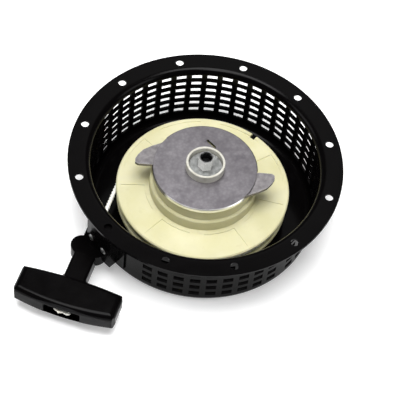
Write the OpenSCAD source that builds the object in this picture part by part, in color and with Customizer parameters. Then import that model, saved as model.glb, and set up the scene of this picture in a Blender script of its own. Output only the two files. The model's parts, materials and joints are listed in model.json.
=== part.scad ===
// Recoil (pull) starter for a large single-cylinder engine: a vented steel drum that bolts
// to the flywheel housing, a sprung rope reel inside it, and a pull handle on the rope.
// Origin: centre of the mounting flange's face. +Z points out of the open mouth, towards
// the engine. The rope is pulled along -Y.

/* [Mounting flange] */
// Outer radius of the flange
flange_r = 120; // [118:0.5:124]
// Radius of the bolt circle
bolt_circle_r = 111.5; // [110:0.5:113]
// Number of bolt holes
bolt_count = 12; // [6:1:12]
// Diameter of each bolt hole
bolt_hole_d = 7; // [5:0.5:8]

/* [Drum] */
// Outer radius of the perforated wall
wall_r = 102; // [101:0.5:104]
// Thickness of the pressed sheet
sheet_t = 1.8; // [1.2:0.1:2.4]
// Depth from the flange face to the outside of the closed end
drum_depth = 68; // [67:0.5:74]
// Outer bend radius between the wall and the closed end
end_bend_r = 8; // [6:0.5:9]
// Inner bend radius under the flange
flange_bend_r = 4; // [2:0.5:5]

/* [Vents] */
// Height of each rectangular vent
vent_h = 5.4; // [4:0.1:6]
// Width of each vent around the wall
vent_w = 9; // [6:0.5:10]
// Depth of the first row of vents below the flange face
vent_first_z = 8.8; // [8.6:0.1:9.4]
// Distance from one row of vents to the next
vent_row_pitch = 9.2; // [8.5:0.1:9.4]
// Rows of vents
vent_rows = 6; // [1:1:6]

/* [Rope and reel] */
// Rope diameter
rope_d = 4.2; // [3.5:0.1:4.4]
// Radius at which the rope leaves the reel
rope_pitch_r = 73; // [72.5:0.5:73.5]
// Depth of the rope's plane below the flange face
rope_z = 47; // [46.5:0.5:47.5]
// Radius of the reel's upper rim
reel_r = 76.8; // [76:0.2:78]
// Depth of the reel's broad top face
reel_face_z = 38.5; // [38:0.5:39]
// Radius of the reel's lower collar
collar_low_r = 47.5; // [46.5:0.5:49]
// Radius of the reel's upper collar
collar_top_r = 44.5; // [43.5:0.5:45]
// Width of the notch in the rim
rim_notch_w = 5; // [3:0.5:7]

/* [Ratchet] */
// Outer radius of the drive plate
plate_r = 46.2; // [46:0.1:47]
// Depth of the drive plate's face
plate_z = 10.5; // [10.5:0.1:10.8]
// Thickness of a pawl
pawl_t = 3; // [2.4:0.1:3]

/* [Pull handle] */
// Width of the handle's bar
bar_w = 91; // [88:0.5:96]
// Depth of the bar along the pull, at its middle
bar_depth = 33; // [31:0.5:34]
// Thickness of the bar
bar_t = 19.6; // [19:0.2:20.4]
// Width of the handle's stem
stem_w = 19.6; // [18:0.2:21]

/* [Hidden] */
$fn = 96;
eps = 0.01;

// Drum
inner_r = wall_r - sheet_t;
end_in_z = -drum_depth + sheet_t;
bend_steps = 12;
flange_bend_x = wall_r + flange_bend_r;
flange_bend_z = -sheet_t - flange_bend_r;
end_bend_x = wall_r - end_bend_r;
end_bend_z = -drum_depth + end_bend_r;
vent_pitch = 8;
// Columns run from 184 degrees clockwise to -24, then from -36 to -100.
// The sheet is plain where the rope comes out.
vent_angles = concat([for (i = [0 : 26]) 184 - vent_pitch * i],
                     [for (i = [0 : 8]) -36 - vent_pitch * i]);

// Spring case and shaft
case_r = 57.5;
case_t = 1;
case_top = -51;
spring_low = -63.2;
spring_high = -51.6;
spring_t = 0.8;
spring_turns = 6;
rivet_ring_r = 36;
shaft_r = 9;
shaft_foot_r = 19;
shaft_foot_t = 1.6;
shoulder_z = -16;
stud_r = 4.6;
stud_top = -2;
stud_chamfer = 1;
fit = 0.05;

// Reel
reel_bore_r = 11;
hub_r = 15;
hub_low = -63;
web_low = -44;
skirt_r = 60;
groove_r = 62.4;
groove_half = 3.5;
reel_low = -54.5;
collar_step_z = -27;
collar_top_z = -15.5;
collar_roof = 5;
collar_wall = 3;
land_z = -12.1;
panel_count = 8;
panel_depth = 0.6;
notch_angle = 69.5;
notch_depth = 5;
knot_r = 3.4;
knot_angle = 40;
knot_ring_r = 54.5;

// Rope
rope_r = rope_d / 2;
rope_x = -rope_pitch_r;
coil_low_r = groove_r + 0.2;
coil_step_r = rope_pitch_r - rope_r;
coil_arc = 240;

// Ratchet
plate_t = 1.5;
plate_low = -plate_z - plate_t;
rim_t = 1.6;
rim_low = -14;
// Each of the plate's two windows for a pawl, clockwise from its start
window_start = 155;
window_sweep = 42;
window_step = 0.7;
slot_l = 11.5;
slot_w = 2.4;
pivot_r = 36;
pivot_angle = 150;
pin_r = 3;
pawl_boss_r = 7.5;
pawl_high = plate_low - 0.3;
plate_hub_r = 16.4;
hub_cup_r = 17.1;
hub_cup_in_r = 15;
hub_cup_top = -2.5;
sleeve_r = 6.5;
spring_in_r = 7.2;
spring_out_r = 13.2;
spring_top = -9.1;
spring_washer_t = 0.4;
sleeve_top = -9;
washer_top = -7.5;
washer_r = 14.4;
nut_flats = 12;
nut_top = 4.5;
nut_face_r = 6.6;

// Rope outlet: a backing plate on the wall, a tall block on it, and a nose round the rope
backing_r = wall_r + 0.2;
backing_t = 1.6;
backing_start = 213;
backing_sweep = 34;
backing_low = -58;
backing_high = -6;
tower_r = 114.4;
tower_start = 226.7;
tower_sweep = 16.8;
tower_low = -51;
tower_high = -3;
nose_r = 9.8;
nose_half_h = 6;
nose_y = -94.5;
nose_left_x = -79;
nose_right_x = -67;
nose_neck_x = -81;
nose_front_y = nose_y - nose_r;
eyelet_l = 4;
eyelet_lip = 1.2;
eyelet_r = 4.8;
eyelet_lip_r = 5.4;
bush_r = 7;
bush_bore_r = 3.2;
bush_in_y = -56;
bush_out_y = -84;
guide_rivet_r = 2;
guide_rivet_z = -35.5;
guide_rivet_angles = [230.5, 239];

// Handle
stem_top_y = -104.8;
stem_t = 16;
stem_edge_r = 2.5;
stem_fillet_r = 3;
bar_back_y = -129.6;
bar_front_y = bar_back_y - bar_depth;
bar_front_bow_r = 210;
bar_back_bow_r = 360;
bar_edge_r = 5;
bar_end_r = 6;
bar_corner = 1.8;
pocket_w = 33;
pocket_low = -8.6;
pocket_high = 5.2;
pocket_depth = 6.2;
plate_skin_t = 3;
plate_w = 86;
plate_top = 8.6;
plate_foot = -7.2;
plate_arch_r = 160;
plate_gap = 0.1;
handle_washer_t = 1;
handle_knot_y = bar_front_y + pocket_depth - handle_washer_t;
handle_knot_r = 2.6;

// ---- helpers ----

// A ring between two radii and two heights
module ring(r_in, r_out, low, high) {
    rotate_extrude()
        translate([r_in, low])
            square([r_out - r_in, high - low]);
}

// A cylinder from one height to another
module post(r, low, high) {
    translate([0, 0, low])
        cylinder(r = r, h = high - low);
}

// A rectangle with round corners, centred
module round_rect(w, h, r) {
    square([w - 2 * r, h], center = true);
    square([w, h - 2 * r], center = true);
    for (x = [-1, 1], y = [-1, 1])
        translate([x * (w / 2 - r), y * (h / 2 - r)])
            circle(r = r);
}

// A cylinder along the rope's line, from one y to another
module along_rope(r, from_y, to_y) {
    translate([rope_x, from_y, -rope_z])
        rotate([90, 0, 0])
            cylinder(r = r, h = from_y - to_y);
}

// A profile drawn as x across and y up, extruded along the rope's line
module extrude_along_rope(from_y, to_y) {
    translate([rope_x, from_y, -rope_z])
        rotate([90, 0, 0])
            linear_extrude(height = from_y - to_y)
                children();
}

// Points of an arc about [x, y], from angle a to angle b
function arc(x, y, r, a, b) =
    [for (i = [0 : bend_steps]) [x, y] + r * [cos(a + (b - a) * i / bend_steps),
                                              sin(a + (b - a) * i / bend_steps)]];

// ---- drum ----

// Half section of the pressed drum: its outside from the rim to the axis, then its inside
module drum_section() {
    polygon(concat(
        [[flange_r, 0], [flange_r, -sheet_t]],
        arc(flange_bend_x, flange_bend_z, flange_bend_r, 90, 180),
        arc(end_bend_x, end_bend_z, end_bend_r, 0, -90),
        [[0, -drum_depth], [0, end_in_z]],
        arc(end_bend_x, end_bend_z, end_bend_r - sheet_t, -90, 0),
        arc(flange_bend_x, flange_bend_z, flange_bend_r + sheet_t, 180, 90)));
}

// One column of vents, cut from the outside in
module vent_column() {
    for (row = [0 : vent_rows - 1])
        translate([inner_r - 3, -vent_w / 2, -vent_first_z - row * vent_row_pitch - vent_h / 2])
            cube([sheet_t + 6, vent_w, vent_h]);
}

module drum_shell() {
    color([0.05, 0.05, 0.06])
    difference() {
        rotate_extrude()
            drum_section();
        for (i = [0 : bolt_count - 1])
            rotate(i * 360 / bolt_count)
                translate([bolt_circle_r, 0, -sheet_t - 1])
                    cylinder(d = bolt_hole_d, h = sheet_t + 2);
        for (a = vent_angles)
            rotate(a)
                vent_column();
        along_rope(bush_r + 0.1, -55, -85);
        post(7, -drum_depth - 1, end_in_z + 1);
        rivet_ring(2, -drum_depth - 1, end_in_z + 1);
        guide_rivet_holes();
    }
}

// Four posts on the rivet circle
module rivet_ring(r, low, high) {
    for (i = [0 : 3])
        rotate(45 + 90 * i)
            translate([rivet_ring_r, 0, 0])
                post(r, low, high);
}

// ---- spring and its case ----

module spring_case() {
    color([0.55, 0.56, 0.58])
    difference() {
        union() {
            ring(7, case_r, end_in_z, end_in_z + case_t);
            ring(case_r - case_t, case_r, end_in_z, case_top);
        }
        rivet_ring(2, end_in_z - 1, end_in_z + case_t + 1);
    }
}

module case_rivets() {
    color([0.7, 0.7, 0.72])
    union() {
        rivet_ring(2, -drum_depth, end_in_z + case_t + eps);
        rivet_ring(3.6, end_in_z + case_t, end_in_z + case_t + 1.2);
    }
}

// Point on the spring's spiral: turns from 0 at the hub to spring_turns at the case
function spiral_r(turn, side) =
    let (inside = hub_r + 1.2, outside = case_r - case_t - 1.4)
    inside + (outside - inside) * turn / spring_turns + side * spring_t;

function spiral_point(turn, side) =
    spiral_r(turn, side) * [cos(360 * turn), sin(360 * turn)];

module recoil_spring() {
    steps = 30 * spring_turns;
    color([0.42, 0.44, 0.5])
    translate([0, 0, spring_low])
        linear_extrude(height = spring_high - spring_low)
            polygon(concat(
                [for (i = [0 : steps]) spiral_point(i / 30, 0)],
                [for (i = [steps : -1 : 0]) spiral_point(i / 30, 1)]));
}

// ---- centre ----

module centre_shaft() {
    color([0.62, 0.63, 0.65])
    union() {
        post(7, -drum_depth, end_in_z + case_t + eps);
        post(shaft_foot_r, end_in_z + case_t, end_in_z + case_t + shaft_foot_t);
        post(shaft_r, end_in_z + case_t + shaft_foot_t - eps, shoulder_z);
        post(stud_r, shoulder_z - eps, stud_top - stud_chamfer);
        translate([0, 0, stud_top - stud_chamfer - eps])
            cylinder(r1 = stud_r, r2 = stud_r - stud_chamfer, h = stud_chamfer);
    }
}

module spacer_sleeve() {
    color([0.7, 0.7, 0.72])
    ring(stud_r + fit, sleeve_r, shoulder_z, sleeve_top);
}

module hub_washer() {
    color([0.55, 0.56, 0.56])
    ring(stud_r + 0.3, washer_r, sleeve_top, washer_top);
}

// Six flats, with the corners coned off at both ends
module centre_nut() {
    across_corners = nut_flats / cos(30);
    nut_h = nut_top - washer_top;
    color([0.88, 0.88, 0.86])
    difference() {
        intersection() {
            translate([0, 0, washer_top])
                rotate(30)
                    cylinder(d = across_corners, h = nut_h, $fn = 6);
            translate([0, 0, washer_top])
                cylinder(r1 = nut_face_r, r2 = nut_face_r + nut_h, h = nut_h);
            translate([0, 0, washer_top])
                cylinder(r1 = nut_face_r + nut_h, r2 = nut_face_r, h = nut_h);
        }
        post(stud_r + fit, washer_top - 1, nut_top + 1);
        translate([0, 0, nut_top - 0.8])
            cylinder(r1 = stud_r, r2 = stud_r + 1.2, h = 1.2);
    }
}

// ---- reel ----

// Half section of the reel, from the bore outwards along the top and back underneath
module reel_section() {
    top = -reel_face_z;
    polygon([
        [reel_bore_r, land_z], [hub_r, land_z], [hub_r, collar_top_z],
        [collar_top_r - 0.8, collar_top_z], [collar_top_r, collar_top_z - 0.8],
        [collar_top_r, collar_step_z], [collar_low_r - 0.8, collar_step_z],
        [collar_low_r, collar_step_z - 0.8], [collar_low_r, top],
        [reel_r - 1, top], [reel_r, top - 1], [reel_r, top - 2.6],
        [groove_r, -rope_z + groove_half], [groove_r, -rope_z - groove_half],
        [reel_r - 0.8, -rope_z - groove_half - 1.2], [reel_r - 0.8, reel_low],
        [skirt_r, reel_low], [skirt_r, web_low],
        [collar_top_r - collar_wall, web_low],
        [collar_top_r - collar_wall, collar_top_z - collar_roof],
        [hub_r, collar_top_z - collar_roof], [hub_r, hub_low], [reel_bore_r, hub_low]
    ]);
}

// One shallow sunk panel of the reel's top face
module reel_panel() {
    sweep = 360 / panel_count - 14;
    rotate(-sweep / 2)
        rotate_extrude(angle = sweep)
            translate([collar_low_r + 4, -reel_face_z - panel_depth])
                square([reel_r - collar_low_r - 8, panel_depth + 1]);
}

module reel() {
    color([0.9, 0.88, 0.68])
    difference() {
        rotate_extrude()
            reel_section();
        for (i = [0 : panel_count - 1])
            rotate(-78 + 180 / panel_count + i * 360 / panel_count)
                reel_panel();
        rotate(notch_angle)
            translate([reel_r - notch_depth, -rim_notch_w / 2, -reel_face_z - 8])
                cube([notch_depth + 2, rim_notch_w, 9]);
        for (side = [0, 180])
            rotate(pivot_angle + side)
                translate([pivot_r, 0, 0]) {
                    post(pin_r, collar_top_z - collar_roof - 1, collar_top_z + 1);
                    post(6, collar_top_z - 3, collar_top_z + 1);
                }
        rotate(knot_angle) {
            translate([knot_ring_r, 0, -rope_z])
                rotate([0, 90, 0])
                    cylinder(r = rope_r + 0.3, h = 12);
            translate([knot_ring_r, 0, 0])
                post(knot_r + 0.6, -rope_z, -rope_z + knot_r + 0.6);
        }
    }
}

module reel_bush() {
    color([0.72, 0.55, 0.3])
    ring(shaft_r + fit, reel_bore_r - 0.02, hub_low + 0.3, shoulder_z - 0.3);
}

// The rope wound in the groove: two full layers, and the outermost part turn
module rope_coil() {
    color([0.92, 0.92, 0.86])
    union() {
        ring(coil_low_r, coil_step_r, -rope_z - rope_r, -rope_z + rope_r);
        rotate(180 - coil_arc)
            rotate_extrude(angle = coil_arc)
                translate([coil_step_r - eps, -rope_z - rope_r])
                    square([rope_d + eps, rope_d]);
    }
}

// The stopper knot on the rope's inner end, behind the groove's wall
module reel_knot() {
    color([0.92, 0.92, 0.86])
    rotate(knot_angle)
        translate([knot_ring_r, 0, -rope_z])
            union() {
                sphere(r = knot_r);
                rotate([0, 90, 0])
                    cylinder(r = rope_r, h = coil_low_r - knot_ring_r);
            }
}

// ---- ratchet ----

module at_pivot(side) {
    rotate(pivot_angle + side)
        translate([pivot_r, 0, 0])
            children();
}

module pawl_pins() {
    color([0.7, 0.7, 0.72])
    for (side = [0, 180])
        at_pivot(side)
            post(pin_r, collar_top_z - collar_roof, plate_low - 0.2);
}

// Coils of each pawl's return spring, in the pocket round its pin
module pawl_springs() {
    color([0.45, 0.46, 0.5])
    for (side = [0, 180])
        at_pivot(side)
            for (turn = [0 : 2])
                translate([0, 0, collar_top_z - 2.5 + turn * 0.85])
                    rotate_extrude()
                        translate([4.4, 0])
                            circle(r = 0.4, $fn = 24);
}

// Outline of the left pawl in the reel's frame, nose outwards
module pawl_outline() {
    pivot = pivot_r * [cos(pivot_angle), sin(pivot_angle)];
    difference() {
        union() {
            translate(pivot)
                circle(r = pawl_boss_r);
            polygon([
                pivot + [-2.4, 7.1], [-46, 12], [-52, 6.6], [-57.2, 0.6], [-59.8, -6.2],
                [-60.6, -11], [-59.6, -14.4], [-56.8, -15.6], [-44.6, -12.3],
                [-36, -3], pivot + [5.6, -5]
            ]);
        }
        translate(pivot)
            circle(r = pin_r + fit);
    }
}

module pawl() {
    color([0.6, 0.59, 0.6])
    translate([0, 0, pawl_high - pawl_t])
        linear_extrude(height = pawl_t)
            pawl_outline();
}

module pawl_left() {
    pawl();
}

module pawl_right() {
    rotate(180)
        pawl();
}

// Half section of the plate with its turned-down rim
module plate_section() {
    polygon([
        [plate_hub_r + fit, -plate_z], [plate_r - 0.6, -plate_z], [plate_r, -plate_z - 0.6],
        [plate_r, rim_low], [plate_r - rim_t, rim_low], [plate_r - rim_t, plate_low],
        [plate_hub_r + fit, plate_low]
    ]);
}

// What is cut from the section at a window: the rim, and a narrow band of the disc's edge
module window_section() {
    inside = plate_r - rim_t - 0.4;
    disc_edge = plate_r - window_step;
    polygon([
        [inside, rim_low - 1], [plate_r + 1, rim_low - 1], [plate_r + 1, 0],
        [disc_edge, 0], [disc_edge, plate_low + 0.1], [inside, plate_low + 0.1]
    ]);
}

// The plate that covers the pawls; its rim is turned down except at the two windows
module drive_plate() {
    color([0.6, 0.6, 0.62])
    difference() {
        rotate_extrude()
            plate_section();
        for (side = [0, 180])
            rotate(window_start + side)
                rotate_extrude(angle = window_sweep)
                    window_section();
        translate([-2.8, 26.6, plate_low - 1])
            rotate(-28.6)
                linear_extrude(height = plate_t + 2)
                    round_rect(slot_l, slot_w, 1);
    }
}

// The plate's hub: a disc in the plate's hole and a thin-walled cup on it
module plate_hub() {
    color([0.93, 0.92, 0.84])
    union() {
        ring(sleeve_r + fit, plate_hub_r, -12, -plate_z + eps);
        rotate_extrude()
            polygon([
                [hub_cup_in_r, -plate_z], [hub_cup_r, -plate_z], [hub_cup_r, hub_cup_top - 0.5],
                [hub_cup_r - 0.5, hub_cup_top], [hub_cup_in_r + 0.5, hub_cup_top],
                [hub_cup_in_r, hub_cup_top - 0.5]
            ]);
    }
}

// Dished spring washer that presses the plate's hub on the reel
module friction_spring() {
    rise = 0.95;
    color([0.45, 0.46, 0.5])
    rotate_extrude()
        polygon([
            [spring_in_r, spring_top - spring_washer_t], [spring_in_r, spring_top],
            [spring_out_r, spring_top - rise], [spring_out_r, spring_top - rise - spring_washer_t]
        ]);
}

// ---- rope outlet ----

// A cylinder that points out from the axis at one of the guide's rivets
module radial(angle, r1, r2, from, to) {
    rotate(angle)
        translate([from, 0, guide_rivet_z])
            rotate([0, 90, 0])
                cylinder(r1 = r1, r2 = r2, h = to - from);
}

module guide_rivet_holes() {
    for (a = guide_rivet_angles)
        radial(a, guide_rivet_r, guide_rivet_r, inner_r - 2, tower_r + 2);
}

// A slab that follows the wall between two radii, from one angle round to another
module wall_slab(r_in, r_out, low, high, start, sweep) {
    rotate(start)
        rotate_extrude(angle = sweep)
            translate([r_in, low])
                square([r_out - r_in, high - low]);
}

// Thin plate between the wall and the moulded guide
module guide_bracket() {
    color([0.05, 0.05, 0.06])
    difference() {
        wall_slab(backing_r, backing_r + backing_t, backing_low, backing_high,
                  backing_start, backing_sweep);
        along_rope(bush_r + 0.1, -50, -100);
        guide_rivet_holes();
    }
}

// The nose's outline seen from the mouth: two round ends and a neck that runs to the wall
module nose_outline() {
    for (x = [nose_left_x, nose_right_x])
        translate([x, nose_y])
            circle(r = nose_r);
    translate([nose_left_x, nose_front_y])
        square([nose_right_x - nose_left_x, 2 * nose_r]);
    translate([nose_neck_x, nose_y])
        square([nose_right_x + nose_r - nose_neck_x, 30]);
}

// Moulded guide: the block, its nose, and a snout that leads the rope out through the wall
module rope_guide() {
    color([0.06, 0.06, 0.06])
    difference() {
        union() {
            wall_slab(backing_r + backing_t, tower_r, tower_low, tower_high,
                      tower_start, tower_sweep);
            difference() {
                translate([0, 0, -rope_z - nose_half_h])
                    linear_extrude(height = 2 * nose_half_h)
                        nose_outline();
                post(backing_r + backing_t, -80, 0);
            }
            along_rope(bush_r, bush_in_y, bush_out_y);
        }
        along_rope(bush_bore_r, bush_in_y + 1, -120);
        along_rope(eyelet_r + fit, nose_front_y + eyelet_l, -120);
        along_rope(eyelet_lip_r + fit, nose_front_y + eyelet_lip, -120);
        guide_rivet_holes();
    }
}

// Rivets through wall, backing plate and guide, with a head at each end
module guide_rivets() {
    color([0.1, 0.1, 0.1])
    for (a = guide_rivet_angles) {
        radial(a, guide_rivet_r, guide_rivet_r, inner_r - 0.2, tower_r + eps);
        radial(a, 2.4, 3.4, inner_r - 1.2, inner_r - 0.1);
        radial(a, 3.2, 2.2, tower_r, tower_r + 1);
    }
}

// Hardened ring that the rope rubs on
module guide_eyelet() {
    color([0.8, 0.8, 0.8])
    translate([rope_x, nose_front_y + eyelet_l, -rope_z])
        rotate([90, 0, 0])
            rotate_extrude()
                polygon(concat(
                    [[bush_bore_r, 0], [eyelet_r, 0], [eyelet_r, eyelet_l - eyelet_lip],
                     [eyelet_lip_r, eyelet_l - eyelet_lip], [eyelet_lip_r, eyelet_l]],
                    arc(bush_bore_r + 1.4, eyelet_l - 1.4, 1.4, 90, 180)));
}

// ---- rope and handle ----

// The straight run of rope from the reel, through the outlet, into the handle
module rope_run() {
    color([0.92, 0.92, 0.86])
    along_rope(rope_r, -0.2, handle_knot_y);
}

// A broad disc with round edges; its rim gives the bar its bowed front or back
module bowed_disc(r) {
    rotate_extrude($fn = 360)
        intersection() {
            translate([0, -bar_t / 2])
                square([r, bar_t]);
            round_rect(2 * r, bar_t, bar_edge_r);
        }
}

// Plan of the bar's ends, with the four corners cut
module bar_plan() {
    end_back = bar_back_y - bar_w * bar_w / 8 / bar_back_bow_r;
    end_front = bar_front_y + bar_w * bar_w / 8 / bar_front_bow_r;
    half = bar_w / 2;
    polygon([
        [-half, end_back - 2 * bar_corner], [-half + bar_corner, end_back + 0.2],
        [-half + bar_corner, bar_back_y + 1], [half - bar_corner, bar_back_y + 1],
        [half - bar_corner, end_back + 0.2], [half, end_back - 2 * bar_corner],
        [half, end_front + 2 * bar_corner], [half - bar_corner, end_front - 0.2],
        [half - bar_corner, bar_front_y - 1], [-half + bar_corner, bar_front_y - 1],
        [-half + bar_corner, end_front - 0.2], [-half, end_front + 2 * bar_corner]
    ]);
}

module handle_bar() {
    intersection() {
        translate([rope_x, bar_front_y + bar_front_bow_r, -rope_z])
            bowed_disc(bar_front_bow_r);
        translate([rope_x, bar_back_y - bar_back_bow_r, -rope_z])
            bowed_disc(bar_back_bow_r);
        extrude_along_rope(bar_back_y + 2, bar_front_y - 2)
            round_rect(bar_w, bar_t, bar_end_r);
        translate([rope_x, 0, -rope_z - bar_t])
            linear_extrude(height = 2 * bar_t)
                bar_plan();
    }
}

// Small fillets where the stem meets the bar
module stem_roots() {
    translate([rope_x, bar_back_y, -rope_z - stem_t / 2 + stem_edge_r])
        linear_extrude(height = stem_t - 2 * stem_edge_r)
            difference() {
                translate([-stem_w / 2 - stem_fillet_r, -1])
                    square([stem_w + 2 * stem_fillet_r, stem_fillet_r + 1]);
                for (side = [-1, 1])
                    translate([side * (stem_w / 2 + stem_fillet_r), stem_fillet_r])
                        circle(r = stem_fillet_r);
            }
}

module handle_body() {
    union() {
        handle_bar();
        extrude_along_rope(stem_top_y, bar_back_y - 6)
            round_rect(stem_w, stem_t, stem_edge_r);
        stem_roots();
    }
}

// The front plate's outline: straight foot, arched top
module plate_outline(grow) {
    intersection() {
        translate([-plate_w / 2 - grow, plate_foot - grow])
            square([plate_w + 2 * grow, plate_top - plate_foot + 2 * grow]);
        translate([0, plate_top - plate_arch_r])
            circle(r = plate_arch_r + grow, $fn = 360);
    }
}

// The outermost skin of the bowed front, inside the plate's outline
module front_skin(grow) {
    difference() {
        extrude_along_rope(bar_front_y + pocket_depth, bar_front_y - 5)
            plate_outline(grow);
        translate([rope_x, bar_front_y + bar_front_bow_r, -rope_z - 20])
            cylinder(r = bar_front_bow_r - plate_skin_t, h = 40, $fn = 360);
    }
}

// Space for the knot, open to the front
module knot_pocket(back_y) {
    extrude_along_rope(back_y, bar_front_y - 5)
        translate([0, (pocket_low + pocket_high) / 2])
            round_rect(pocket_w, pocket_high - pocket_low, 2);
}

module handle_grip() {
    color([0.05, 0.05, 0.05])
    difference() {
        handle_body();
        along_rope(rope_r + 0.4, stem_top_y + 1, bar_front_y - 1);
        knot_pocket(bar_front_y + pocket_depth);
        front_skin(plate_gap);
    }
}

// Satin face plate let into the front of the bar, open where the knot sits
module handle_plate() {
    color([0.16, 0.16, 0.17])
    difference() {
        intersection() {
            handle_bar();
            front_skin(0);
        }
        knot_pocket(bar_front_y + pocket_depth + 1);
    }
}

module handle_washer() {
    color([0.8, 0.8, 0.8])
    translate([rope_x, bar_front_y + pocket_depth, -rope_z])
        rotate([90, 0, 0])
            ring(rope_r + 0.3, 5, 0, handle_washer_t);
}

// Stopper knot on the rope's outer end, lying across the pocket
module handle_knot() {
    color([0.95, 0.95, 0.9])
    translate([rope_x, handle_knot_y - handle_knot_r, -rope_z])
        rotate([0, 90, 0])
            union() {
                cylinder(r = handle_knot_r, h = 12, center = true);
                for (side = [-1, 1])
                    translate([0, 0, 6 * side])
                        sphere(r = handle_knot_r);
            }
}

drum_shell();
spring_case();
case_rivets();
centre_shaft();
recoil_spring();
reel();
reel_bush();
rope_coil();
reel_knot();
pawl_pins();
pawl_springs();
pawl_left();
pawl_right();
drive_plate();
plate_hub();
friction_spring();
spacer_sleeve();
hub_washer();
centre_nut();
guide_bracket();
rope_guide();
guide_rivets();
guide_eyelet();
rope_run();
handle_grip();
handle_plate();
handle_washer();
handle_knot();
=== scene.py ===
"""Looks of the recoil starter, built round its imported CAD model. Metres, in the row frame."""

import json
import math

import bpy
from mathutils import Matrix, Vector


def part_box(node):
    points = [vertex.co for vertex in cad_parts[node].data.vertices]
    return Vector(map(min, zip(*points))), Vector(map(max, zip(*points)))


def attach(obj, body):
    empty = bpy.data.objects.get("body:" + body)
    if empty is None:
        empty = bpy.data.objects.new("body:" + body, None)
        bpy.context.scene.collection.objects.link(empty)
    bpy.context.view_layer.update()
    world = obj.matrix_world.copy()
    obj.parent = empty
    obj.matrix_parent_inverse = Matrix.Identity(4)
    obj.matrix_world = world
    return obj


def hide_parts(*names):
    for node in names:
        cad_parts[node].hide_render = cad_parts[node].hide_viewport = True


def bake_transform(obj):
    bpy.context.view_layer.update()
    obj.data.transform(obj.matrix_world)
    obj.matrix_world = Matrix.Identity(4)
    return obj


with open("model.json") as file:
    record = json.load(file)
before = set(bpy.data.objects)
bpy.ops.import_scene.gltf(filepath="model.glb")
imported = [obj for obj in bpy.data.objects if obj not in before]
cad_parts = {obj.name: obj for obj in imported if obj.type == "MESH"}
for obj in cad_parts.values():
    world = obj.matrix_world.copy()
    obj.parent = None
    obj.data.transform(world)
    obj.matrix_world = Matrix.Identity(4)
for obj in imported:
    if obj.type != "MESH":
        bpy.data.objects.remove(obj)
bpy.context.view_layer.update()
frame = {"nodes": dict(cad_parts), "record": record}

MM = 0.001
NODES = frame["nodes"]


# ---- places and measures ----

run_low, run_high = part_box("rope_run")
ROPE_D = run_high.z - run_low.z
ROPE_X = (run_low.x + run_high.x) / 2
ROPE_Z = (run_low.z + run_high.z) / 2
COIL_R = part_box("rope_coil")[1].x - ROPE_D / 2
FLOOR_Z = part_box("drum_shell")[0].z

# Inside these distances from the reel's axis, painted shade darkens the nut's bore and the stud's
# end.
NUT_BORE_R = 5.4 * MM
STUD_BORE_R = 4.7 * MM

# The plate's turned-down rim starts here. The rim gets a painted highlight on its side towards
# the direction below, past the distance below along it, and painted shade round the rest.
PLATE_RIM_R = 45.0 * MM
RIM_HIGHLIGHT_TOWARD = (0.29, -0.957, 0)
RIM_HIGHLIGHT_FROM = 30 * MM

# The reel's stopper knot sits behind the groove's wall, at this angle and radius.
KNOT_ANGLE = math.radians(40)
KNOT_RING_R = 54.5 * MM
KNOT_HALF = 2.2 * MM
KNOT_STRAND_D = 2.1 * MM
KNOT_LEAD = 7.5 * MM

# The braided turns on the reel: all of them, how long the outermost one is, and the step down.
COIL_ARC = math.radians(600)
COIL_OUTER_ARC = math.radians(220)
COIL_DROP_ARC = math.radians(40)
COIL_STEP = math.radians(6)

# A braid: the length of one turn and half a strand's thickness, in rope diameters, and how much
# wider than thick a strand is.
BRAID_STRANDS = 8
BRAID_TURN = 3.2
STRAND_HALF = 0.17
STRAND_FLATTENING = 1.5

# The handle's knot is tied in a strand this thick, as a share of the knot's height.
HANDLE_KNOT_STRAND = 0.46

# The angles are azimuth, elevation and roll in degrees, and the lens is in millimetres.
CAMERA_PLACE = (0.1855, -0.8772, 1.1834)
CAMERA_ANGLES = (12, 54.2, 7.16)
CAMERA_LENS = 154

FLOOR_HALF = 25.0


# ---- shader helpers ----


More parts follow.
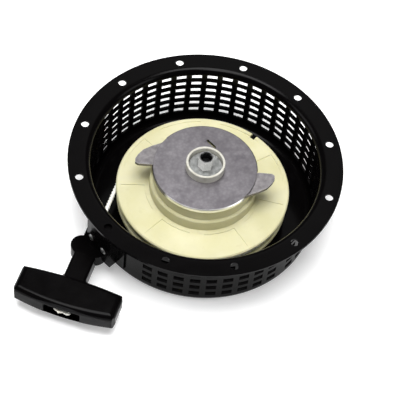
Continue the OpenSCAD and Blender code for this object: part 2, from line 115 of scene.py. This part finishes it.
class Shader:
    """A Principled material and short ways to add its nodes. Coordinates are the object's own."""

    def __init__(self, name, metallic=0.0):
        self.material = bpy.data.materials.new(name)
        self.material.use_nodes = True
        self.tree = self.material.node_tree
        self.bsdf = self.tree.nodes["Principled BSDF"]
        self.bsdf.inputs["Metallic"].default_value = metallic
        self.place = self.add("ShaderNodeTexCoord").outputs["Object"]

    def add(self, kind, **settings):
        node = self.tree.nodes.new(kind)
        for key, value in settings.items():
            setattr(node, key, value)
        return node

    def put(self, node, values):
        """Fill a node's inputs, each with a value or with another node's output."""
        for key, value in values.items():
            if isinstance(value, bpy.types.NodeSocket):
                self.tree.links.new(value, node.inputs[key])
            else:
                node.inputs[key].default_value = value
        return node

    def stretched(self, scale):
        node = self.put(self.add("ShaderNodeMapping"), {"Vector": self.place, "Scale": scale})
        return node.outputs["Vector"]

    def noise(self, size, detail=3.0, stretch=None):
        """Noise whose blotches are about size metres across."""
        where = self.stretched(stretch) if stretch else self.place
        values = {"Vector": where, "Scale": 1 / size, "Detail": detail}
        return self.put(self.add("ShaderNodeTexNoise"), values).outputs["Fac"]

    def cells(self, size):
        values = {"Vector": self.place, "Scale": 1 / size}
        return self.put(self.add("ShaderNodeTexVoronoi"), values).outputs["Distance"]

    def levels(self, fac, low, high, out_low=0.0, out_high=1.0):
        """Stretch low..high to out_low..out_high, and cut off what is past either end."""
        values = {
            "Value": fac, "From Min": low, "From Max": high, "To Min": out_low, "To Max": out_high
        }
        return self.put(self.add("ShaderNodeMapRange"), values).outputs["Result"]

    def math(self, what, a, b):
        return self.put(self.add("ShaderNodeMath", operation=what), {0: a, 1: b}).outputs["Value"]

    def mix(self, fac, a, b):
        """Colour a where fac is 0, b where it is 1."""
        node = self.add("ShaderNodeMix", data_type="RGBA")
        colors = [(*c, 1) if isinstance(c, tuple) else c for c in (a, b)]
        self.put(node, {0: fac, 6: colors[0], 7: colors[1]})
        return node.outputs[2]

    def axis_distance(self):
        """Distance from the reel's axis."""
        flat = self.add("ShaderNodeVectorMath", operation="MULTIPLY")
        self.put(flat, {0: self.place, 1: (1, 1, 0)})
        length = self.add("ShaderNodeVectorMath", operation="LENGTH")
        return self.put(length, {0: flat.outputs["Vector"]}).outputs["Value"]

    def along(self, direction):
        """Distance from the origin along a direction."""
        dot = self.add("ShaderNodeVectorMath", operation="DOT_PRODUCT")
        return self.put(dot, {0: self.place, 1: direction}).outputs["Value"]

    def flatness(self):
        """1 where the surface faces up or down, 0 where it is upright."""
        normal = self.add("ShaderNodeNewGeometry").outputs["Normal"]
        split = self.put(self.add("ShaderNodeSeparateXYZ"), {"Vector": normal})
        return self.math("ABSOLUTE", split.outputs["Z"], 0.0)

    def edges(self, radius, low, high):
        """1 on edges that a bevel of that radius would round, 0 on flats."""
        bevel = self.put(self.add("ShaderNodeBevel", samples=4), {"Radius": radius})
        normal = self.add("ShaderNodeNewGeometry").outputs["Normal"]
        dot = self.add("ShaderNodeVectorMath", operation="DOT_PRODUCT")
        self.put(dot, {0: bevel.outputs["Normal"], 1: normal})
        return self.levels(dot.outputs["Value"], high, low)

    def worn_edges(self, radius, where):
        """Edges that a bevel of that radius would round, only where that value is high."""
        return self.math("MULTIPLY", self.edges(radius, 0.75, 0.98), self.levels(where, 0.5, 0.62))

    def bump(self, height, depth, strength=1.0):
        values = {"Height": height, "Distance": depth, "Strength": strength}
        node = self.put(self.add("ShaderNodeBump"), values)
        return node.outputs["Normal"]

    def finish(self, **values):
        """Fill the Principled node's inputs by name, and give the material."""
        names = [key.replace("_", " ").title().replace("Ior", "IOR") for key in values]
        self.put(self.bsdf, dict(zip(names, values.values())))
        return self.material


# ---- materials ----


def drum_black():
    s = Shader("drum_black")
    broad = s.noise(14 * MM, 4)
    peel = s.noise(1.1 * MM, 2)
    dust = s.levels(s.noise(2.2 * MM, 5), 0.66, 0.78, 0, 0.4)
    wear_and_highlight_mask = s.worn_edges(0.5 * MM, s.noise(5 * MM, 5))
    color = s.mix(dust, (0.0012, 0.0010, 0.0011), (0.006, 0.006, 0.006))
    color = s.mix(s.math("MULTIPLY", wear_and_highlight_mask, 0.4), color, (0.05, 0.05, 0.052))
    return s.finish(
        base_color=color,
        roughness=s.levels(broad, 0.3, 0.7, 0.13, 0.21),
        specular_ior_level=0.06,
        normal=s.bump(peel, 0.015 * MM, 0.4),
    )


def zinc_plate():
    s = Shader("zinc_plate", 1.0)
    cloud = s.noise(6 * MM, 8)
    spangle = s.cells(2.6 * MM)
    scratch = s.noise(1.5 * MM, 2, (1, 14, 14))
    tone = s.mix(s.levels(cloud, 0.35, 0.68), (0.18, 0.168, 0.182), (0.24, 0.227, 0.24))
    patches = s.levels(s.noise(45 * MM, 2), 0.35, 0.65, 0, 0.45)
    tone = s.mix(patches, tone, (0.32, 0.305, 0.32))
    tone = s.mix(s.levels(spangle, 0.2, 0.8, 0, 0.3), tone, (0.12, 0.11, 0.125))
    tone = s.mix(s.levels(scratch, 0.68, 0.78, 0, 0.3), tone, (0.5, 0.49, 0.5))
    # Painted light on the rim: a painted highlight on its front side and painted shade round the
    # rest.
    wear_and_highlight_mask = s.levels(s.along(RIM_HIGHLIGHT_TOWARD), RIM_HIGHLIGHT_FROM, RIM_HIGHLIGHT_FROM + 4 * MM)
    rim_shade_and_highlight = s.mix(wear_and_highlight_mask, (0.07, 0.065, 0.06), (1, 0.99, 0.96))
    edge = s.levels(s.axis_distance(), PLATE_RIM_R, PLATE_RIM_R + 0.7 * MM)
    tone = s.mix(s.math("MULTIPLY", edge, 0.9), tone, rim_shade_and_highlight)
    height = s.math("ADD", cloud, s.math("MULTIPLY", scratch, 0.15))
    return s.finish(
        base_color=tone,
        roughness=s.levels(cloud, 0.3, 0.7, 0.28, 0.4),
        normal=s.bump(height, 0.1 * MM, 0.5),
    )


def pawl_steel():
    s = Shader("pawl_steel", 1.0)
    cloud = s.noise(4 * MM, 6)
    tone = s.mix(s.levels(cloud, 0.35, 0.65), (0.18, 0.17, 0.175), (0.27, 0.255, 0.26))
    tone = s.mix(s.math("MULTIPLY", s.edges(0.4 * MM, 0.75, 0.98), 0.6), tone, (0.85, 0.84, 0.83))
    return s.finish(
        base_color=tone,
        roughness=s.levels(cloud, 0.3, 0.7, 0.38, 0.55),
        normal=s.bump(s.noise(1.2 * MM, 4), 0.04 * MM, 0.6),
    )


def nylon_cream():
    s = Shader("nylon_cream")
    cloud = s.noise(35 * MM, 4)
    grime = s.levels(s.noise(6 * MM, 6), 0.6, 0.78, 0, 0.35)
    tone = s.mix(s.levels(cloud, 0.35, 0.65), (0.5, 0.475, 0.275), (0.56, 0.535, 0.35))
    tone = s.mix(grime, tone, (0.42, 0.39, 0.23))
    return s.finish(
        base_color=tone,
        roughness=s.levels(cloud, 0.3, 0.7, 0.4, 0.52),
        subsurface_weight=0.25,
        subsurface_radius=(0.006, 0.005, 0.0025),
        normal=s.bump(s.noise(0.9 * MM, 3), 0.03 * MM, 0.5),
    )


def hub_ivory():
    s = Shader("hub_ivory")
    cloud = s.noise(5 * MM, 4)
    return s.finish(
        base_color=s.mix(s.levels(cloud, 0.4, 0.7), (0.5, 0.49, 0.44), (0.4, 0.385, 0.32)),
        roughness=s.levels(cloud, 0.3, 0.7, 0.32, 0.46),
        normal=s.bump(s.noise(0.8 * MM, 3), 0.02 * MM, 0.5),
    )


def bright_steel():
    s = Shader("bright_steel", 0.2)
    cloud = s.noise(2.5 * MM, 4)
    tone = s.mix(s.levels(cloud, 0.35, 0.7), (1.0, 1.0, 0.98), (0.84, 0.84, 0.82))
    # Painted shade: near black in the nut's bore and on its flat faces, so only the upright sides
    # stay bright.
    bore_shade = s.levels(s.axis_distance(), NUT_BORE_R + 0.5 * MM, NUT_BORE_R)
    flat_face_shade = s.levels(s.flatness(), 0.6, 0.95, 0, 0.85)
    painted_shade = s.math("MAXIMUM", bore_shade, flat_face_shade)
    return s.finish(
        base_color=s.mix(painted_shade, tone, (0.012, 0.012, 0.012)),
        roughness=s.levels(cloud, 0.3, 0.7, 0.16, 0.3),
        normal=s.bump(s.noise(0.7 * MM, 3), 0.02 * MM, 0.5),
    )


def grey_steel():
    s = Shader("grey_steel", 1.0)
    cloud = s.noise(3 * MM, 5)
    tone = s.mix(s.levels(cloud, 0.35, 0.7), (0.2, 0.205, 0.2), (0.32, 0.325, 0.32))
    # Painted shade: near black on the stud's end, down inside the nut's bore.
    stud_end_shade = s.levels(s.axis_distance(), STUD_BORE_R + 0.3 * MM, STUD_BORE_R)
    return s.finish(
        base_color=s.mix(stud_end_shade, tone, (0.012, 0.012, 0.012)),
        roughness=s.levels(cloud, 0.3, 0.7, 0.34, 0.52),
        normal=s.bump(s.noise(0.9 * MM, 3), 0.03 * MM, 0.5),
    )


def spring_steel():
    s = Shader("spring_steel", 1.0)
    cloud = s.noise(8 * MM, 4)
    return s.finish(
        base_color=s.mix(s.levels(cloud, 0.35, 0.7), (0.24, 0.25, 0.31), (0.36, 0.36, 0.39)),
        roughness=s.levels(cloud, 0.3, 0.7, 0.24, 0.4),
        normal=s.bump(s.noise(0.5 * MM, 2, (1, 1, 8)), 0.02 * MM, 0.5),
    )


def bronze():
    s = Shader("bronze", 1.0)
    grain = s.noise(0.8 * MM, 4)
    return s.finish(
        base_color=s.mix(s.levels(grain, 0.35, 0.7), (0.46, 0.31, 0.14), (0.62, 0.45, 0.24)),
        roughness=s.levels(grain, 0.3, 0.7, 0.34, 0.55),
        normal=s.bump(grain, 0.04 * MM, 0.6),
    )


def rope_white():
    s = Shader("rope_white")
    fibre = s.noise(0.35 * MM, 3)
    soiled = s.noise(12 * MM, 4)
    tone = s.mix(s.levels(soiled, 0.45, 0.75), (0.88, 0.87, 0.81), (0.74, 0.71, 0.6))
    return s.finish(
        base_color=tone,
        roughness=0.75,
        sheen_weight=0.25,
        normal=s.bump(fibre, 0.05 * MM, 0.7),
    )


def black_plastic():
    s = Shader("black_plastic")
    grain = s.noise(0.6 * MM, 4)
    handled = s.noise(11 * MM, 4)
    scuff = s.math("MULTIPLY", s.worn_edges(0.5 * MM, handled), 0.4)
    return s.finish(
        base_color=s.mix(scuff, (0.0016, 0.0014, 0.0015), (0.03, 0.03, 0.03)),
        roughness=s.levels(handled, 0.3, 0.7, 0.16, 0.26),
        specular_ior_level=0.045,
        normal=s.bump(grain, 0.02 * MM, 0.5),
    )


def satin_plastic():
    s = Shader("satin_plastic")
    grain = s.noise(0.5 * MM, 4)
    handled = s.noise(9 * MM, 4)
    return s.finish(
        base_color=s.mix(
            s.levels(handled, 0.4, 0.7), (0.006, 0.006, 0.0065), (0.011, 0.011, 0.0115)
        ),
        roughness=s.levels(handled, 0.3, 0.7, 0.42, 0.6),
        specular_ior_level=0.08,
        normal=s.bump(grain, 0.04 * MM, 0.6),
    )


def floor_material():
    return Shader("floor_pale").finish(
        base_color=(0.85, 0.85, 0.85, 1),
        roughness=0.9,
        specular_ior_level=0.1,
        emission_color=(1, 1, 1, 1),
        emission_strength=0.32,
    )


MAKERS = [
    drum_black, zinc_plate, pawl_steel, nylon_cream, hub_ivory, bright_steel,
    grey_steel, spring_steel, bronze, rope_white, black_plastic, satin_plastic,
]
MATERIALS = {make.__name__: make() for make in MAKERS}


def dress_cad_nodes():
    """Every CAD node takes the material of its slot in the record."""
    for part in frame["record"]["subparts"]:
        mesh = NODES[part["node"]].data
        mesh.materials.clear()
        mesh.materials.append(MATERIALS[part["material_slot"]])


# ---- rope ----


def mesh_object(name, points, faces, material):
    """A smooth-shaded mesh in the scene."""
    mesh = bpy.data.meshes.new(name)
    mesh.from_pydata([tuple(p) for p in points], [], faces)
    mesh.materials.append(MATERIALS[material])
    mesh.polygons.foreach_set("use_smooth", [True] * len(mesh.polygons))
    mesh.update()
    obj = bpy.data.objects.new(name, mesh)
    bpy.context.scene.collection.objects.link(obj)
    return obj


def walk(path, step):
    """Stations about every step along path: point, two directions across, length so far.

    The directions across turn with the path and don't twist round it.
    """
    lengths = [0.0]
    for a, b in zip(path, path[1:]):
        lengths.append(lengths[-1] + (b - a).length)
    count = max(2, round(lengths[-1] / step))
    across = None
    stations, i = [], 0
    for k in range(count + 1):
        at = lengths[-1] * k / count
        while i < len(path) - 2 and lengths[i + 1] < at:
            i += 1
        a, b = path[i], path[i + 1]
        t = (at - lengths[i]) / max(lengths[i + 1] - lengths[i], 1e-12)
        before = (b - path[i - 1]) if i else (b - a)
        after = (path[i + 2] - a) if i < len(path) - 2 else (b - a)
        ahead = before.normalized().lerp(after.normalized(), t).normalized()
        across = across or ahead.orthogonal()
        across = (across - ahead * across.dot(ahead)).normalized()
        stations.append((a.lerp(b, t), across.copy(), ahead.cross(across), at))
    return stations


def tube(rings):
    """Points and faces of a tube through rings of equal size, closed at both ends."""
    n = len(rings[0])
    points = [p for ring in rings for p in ring]
    faces = []
    for k in range(len(rings) - 1):
        for j in range(n):
            a, b = k * n + j, k * n + (j + 1) % n
            faces.append((a, b, b + n, a + n))
    faces.append(tuple(range(n - 1, -1, -1)))
    faces.append(tuple((len(rings) - 1) * n + j for j in range(n)))
    return points, faces


def join(first, second):
    """One set of points and faces from two."""
    shift = len(first[0])
    moved = [tuple(i + shift for i in face) for face in second[1]]
    return first[0] + second[0], first[1] + moved


def around(centre, u, v, wide, high, sides):
    """Points of an ellipse round centre: wide along v, high along u."""
    turns = [2 * math.pi * j / sides for j in range(sides)]
    return [centre + u * high * math.cos(a) + v * wide * math.sin(a) for a in turns]


def braid(path, diameter, sides=6, per_turn=20):
    """Points and faces of a round braid: half of its strands wind each way, over and under."""
    strands = BRAID_STRANDS
    turn = BRAID_TURN * diameter
    stations = walk(path, turn / per_turn)
    thick = STRAND_HALF * diameter
    wide = STRAND_FLATTENING * thick
    lift_most = 0.7 * thick
    middle = diameter / 2 - thick - lift_most
    points, faces = [], []
    for s in range(strands):
        way = 1 if s % 2 else -1
        start = 2 * math.pi * (s // 2) / (strands / 2) + (math.pi / strands if s % 2 else 0)
        rings = []
        for centre, u, v, at in stations:
            angle = start + way * 2 * math.pi * at / turn
            lift = math.sin(strands / 2 * angle + (math.pi if s % 2 else 0))
            out = u * math.cos(angle) + v * math.sin(angle)
            side = v * math.cos(angle) - u * math.sin(angle)
            here = centre + out * (middle + lift_most * lift)
            rings.append(around(here, out, side, wide, thick, sides))
        points, faces = join((points, faces), tube(rings))
    core = [around(centre, u, v, middle, middle, 8) for centre, u, v, _ in stations]
    return join((points, faces), tube(core))


def make_rope_run():
    start = Vector((ROPE_X, run_high.y, ROPE_Z))
    end = Vector((ROPE_X, run_low.y, ROPE_Z))
    path = [start.lerp(end, i / 60) for i in range(61)]
    rope = mesh_object("rope_run_braid", *braid(path, ROPE_D), "rope_white")
    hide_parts("rope_run")
    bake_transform(rope)


def make_rope_coil():
    """Turns on the reel: the outermost part turn ends where the straight run leaves it."""
    path = []
    for k in range(round(COIL_ARC / COIL_STEP)):
        angle = math.pi - k * COIL_STEP
        share = min(1, max(0, (k * COIL_STEP - COIL_OUTER_ARC) / COIL_DROP_ARC))
        r = COIL_R - ROPE_D * share * share * (3 - 2 * share)
        path.append(Vector((r * math.cos(angle), r * math.sin(angle), ROPE_Z)))
    turns = braid(path, ROPE_D, sides=5, per_turn=16)
    rope = mesh_object("rope_coil_braid", *turns, "rope_white")
    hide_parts("rope_coil")
    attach(rope, "reel")


def knot_path(centre, spread, turn_z=0.0):
    """An overhand knot round centre, squashed to spread along x, y and z."""
    path = []
    for i in range(97):
        t = 2 * math.pi * i / 96
        x = (math.sin(t) + 2 * math.sin(2 * t)) / 3
        z = (math.cos(t) - 2 * math.cos(2 * t)) / 3
        y = -math.sin(3 * t)
        offset = Vector((x * spread[0], y * spread[1], z * spread[2]))
        path.append(centre + Matrix.Rotation(turn_z, 3, "Z") @ offset)
    return path


def make_handle_knot():
    low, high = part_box("handle_knot")
    thick = HANDLE_KNOT_STRAND * (high.z - low.z)
    spread = [(h - l - thick) / 2 - 0.05 * MM for l, h in zip(low, high)]
    turns = braid(knot_path((low + high) / 2, spread), thick)
    knot = mesh_object("handle_knot_braid", *turns, "rope_white")
    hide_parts("handle_knot")
    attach(knot, "handle")


def make_reel_knot():
    """Stopper knot behind the groove's wall, and the bit of rope through the wall."""
    turn = Matrix.Rotation(KNOT_ANGLE, 3, "Z")
    centre = turn @ Vector((KNOT_RING_R, 0, ROPE_Z))
    end = turn @ Vector((KNOT_RING_R + KNOT_LEAD, 0, ROPE_Z))
    turns = braid(knot_path(centre, (KNOT_HALF,) * 3, KNOT_ANGLE), KNOT_STRAND_D)
    lead = braid([centre.lerp(end, i / 8) for i in range(9)], ROPE_D * 0.96)
    knot = mesh_object("reel_knot_braid", *join(turns, lead), "rope_white")
    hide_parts("reel_knot")
    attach(knot, "reel")


# ---- stage, lights and camera ----


def make_floor():
    corners = [(-1, -1), (1, -1), (1, 1), (-1, 1)]
    points = [(x * FLOOR_HALF, y * FLOOR_HALF, FLOOR_Z) for x, y in corners]
    mesh = bpy.data.meshes.new("floor")
    mesh.from_pydata(points, [], [(0, 1, 2, 3)])
    mesh.materials.append(floor_material())
    floor = bpy.data.objects.new("floor", mesh)
    bpy.context.scene.collection.objects.link(floor)


def area_light(name, place, aim, size, power):
    data = bpy.data.lights.new(name, "AREA")
    data.size = size
    data.energy = power
    light = bpy.data.objects.new(name, data)
    light.location = place
    toward = Vector(aim) - Vector(place)
    light.rotation_euler = toward.to_track_quat("-Z", "Y").to_euler()
    bpy.context.scene.collection.objects.link(light)


def make_lights():
    area_light("overhead", (-0.05, -0.12, 1.7), (0, 0, 0), 1.2, 52)
    area_light("back_sheen", (-0.22, 1.2, 1.35), (0, 0, 0), 0.7, 1.6)
    area_light("left_fill", (-1.6, -0.4, 0.9), (0, 0, -0.03), 0.9, 9)
    area_light("right_fill", (1.6, -0.2, 0.9), (0, 0, -0.03), 0.9, 9)
    world = bpy.data.worlds.new("studio")
    world.use_nodes = True
    background = world.node_tree.nodes["Background"]
    background.inputs["Color"].default_value = (1, 1, 1, 1)
    background.inputs["Strength"].default_value = 0.1
    bpy.context.scene.world = world
    bpy.context.scene.view_settings.view_transform = "Standard"


def make_camera():
    azimuth, elevation, roll = (math.radians(a) for a in CAMERA_ANGLES)
    data = bpy.data.cameras.new("camera")
    data.sensor_width = 36
    data.lens = CAMERA_LENS
    camera = bpy.data.objects.new("camera", data)
    turn = Matrix.Rotation(azimuth, 4, "Z") @ Matrix.Rotation(math.pi / 2 - elevation, 4, "X")
    place = Matrix.Translation(CAMERA_PLACE)
    camera.matrix_world = place @ turn @ Matrix.Rotation(roll, 4, "Z")
    bpy.context.scene.collection.objects.link(camera)
    bpy.context.scene.camera = camera


make_camera()
dress_cad_nodes()
make_rope_run()
make_rope_coil()
make_handle_knot()
make_reel_knot()
make_floor()
make_lights()
